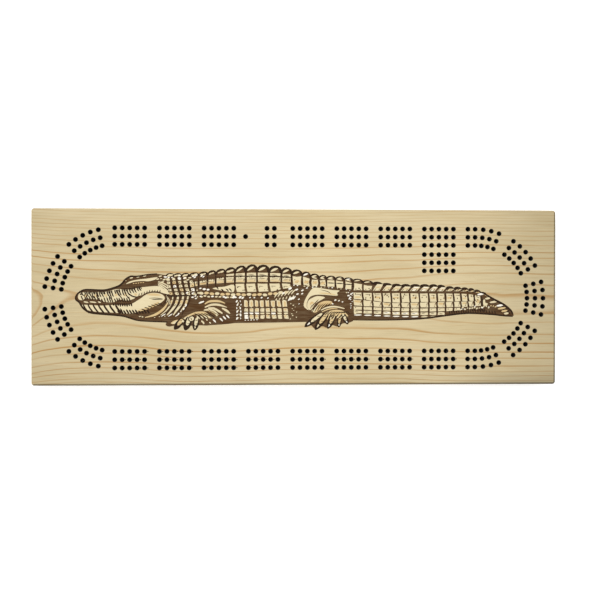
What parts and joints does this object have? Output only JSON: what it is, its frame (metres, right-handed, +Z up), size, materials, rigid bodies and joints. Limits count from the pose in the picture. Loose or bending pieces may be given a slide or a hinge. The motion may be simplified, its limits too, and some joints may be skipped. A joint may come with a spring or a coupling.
{
  "type": "cribbage board",
  "caption": "Long wooden cribbage board with lanes of blind peg holes, a burned crocodile drawing, rubber feet and an underside peg store closed by a swivelling plate.",
  "frame": {"origin": "on the table, under the middle of the board, where its feet stand", "axes": "+X along the board's length, towards the game counter; +Y across the board, towards the start holes; +Z up, out of the face with the peg holes"},
  "size_m": [0.4174, 0.1396, 0.025],
  "materials": {
    "pine": "sanded, clear satin oil, burned drawing",
    "rubber": "moulded, matte",
    "steel": "zinc plated",
    "brass": "brushed",
    "red_peg": "gloss paint",
    "blue_peg": "gloss paint",
    "green_peg": "gloss paint"
  },
  "bodies": {
    "board": {"board": "pine", "cover_pivot_screw": "brass", "cover_pivot_washer": "steel", "cover_latch_screw": "brass", "foot_back_left": "rubber", "foot_back_right": "rubber", "foot_front_left": "rubber", "foot_front_right": "rubber", "foot_screw_back_left": "steel", "foot_screw_back_right": "steel", "foot_screw_front_left": "steel", "foot_screw_front_right": "steel"},
    "cover": {"peg_store_cover": "brass"},
    "peg_red_1": {"peg_red_1": "red_peg"},
    "peg_red_2": {"peg_red_2": "red_peg"},
    "peg_red_3": {"peg_red_3": "red_peg"},
    "peg_blue_1": {"peg_blue_1": "blue_peg"},
    "peg_blue_2": {"peg_blue_2": "blue_peg"},
    "peg_blue_3": {"peg_blue_3": "blue_peg"},
    "peg_green_1": {"peg_green_1": "green_peg"},
    "peg_green_2": {"peg_green_2": "green_peg"},
    "peg_green_3": {"peg_green_3": "green_peg"}
  },
  "joints": [
    {"name": "cover_swing", "type": "hinge", "parent": "board", "child": "cover", "pos_m": [0.066, 0, 0.0049], "axis": [0, 0, 1], "range_deg": [0, 145]},
    {"name": "peg_red_1_slide", "type": "slide", "parent": "board", "child": "peg_red_1", "axis": [1, 0, 0], "range_m": [-0.0015, 0.0015]},
    {"name": "peg_red_2_slide", "type": "slide", "parent": "board", "child": "peg_red_2", "axis": [1, 0, 0], "range_m": [-0.0015, 0.0015]},
    {"name": "peg_red_3_slide", "type": "slide", "parent": "board", "child": "peg_red_3", "axis": [1, 0, 0], "range_m": [-0.0015, 0.0015]},
    {"name": "peg_blue_1_slide", "type": "slide", "parent": "board", "child": "peg_blue_1", "axis": [1, 0, 0], "range_m": [-0.0015, 0.0015]},
    {"name": "peg_blue_2_slide", "type": "slide", "parent": "board", "child": "peg_blue_2", "axis": [1, 0, 0], "range_m": [-0.0015, 0.0015]},
    {"name": "peg_blue_3_slide", "type": "slide", "parent": "board", "child": "peg_blue_3", "axis": [1, 0, 0], "range_m": [-0.0015, 0.0015]},
    {"name": "peg_green_1_slide", "type": "slide", "parent": "board", "child": "peg_green_1", "axis": [1, 0, 0], "range_m": [-0.0015, 0.0015]},
    {"name": "peg_green_2_slide", "type": "slide", "parent": "board", "child": "peg_green_2", "axis": [1, 0, 0], "range_m": [-0.0015, 0.0015]},
    {"name": "peg_green_3_slide", "type": "slide", "parent": "board", "child": "peg_green_3", "axis": [1, 0, 0], "range_m": [-0.0015, 0.0015]}
  ]
}
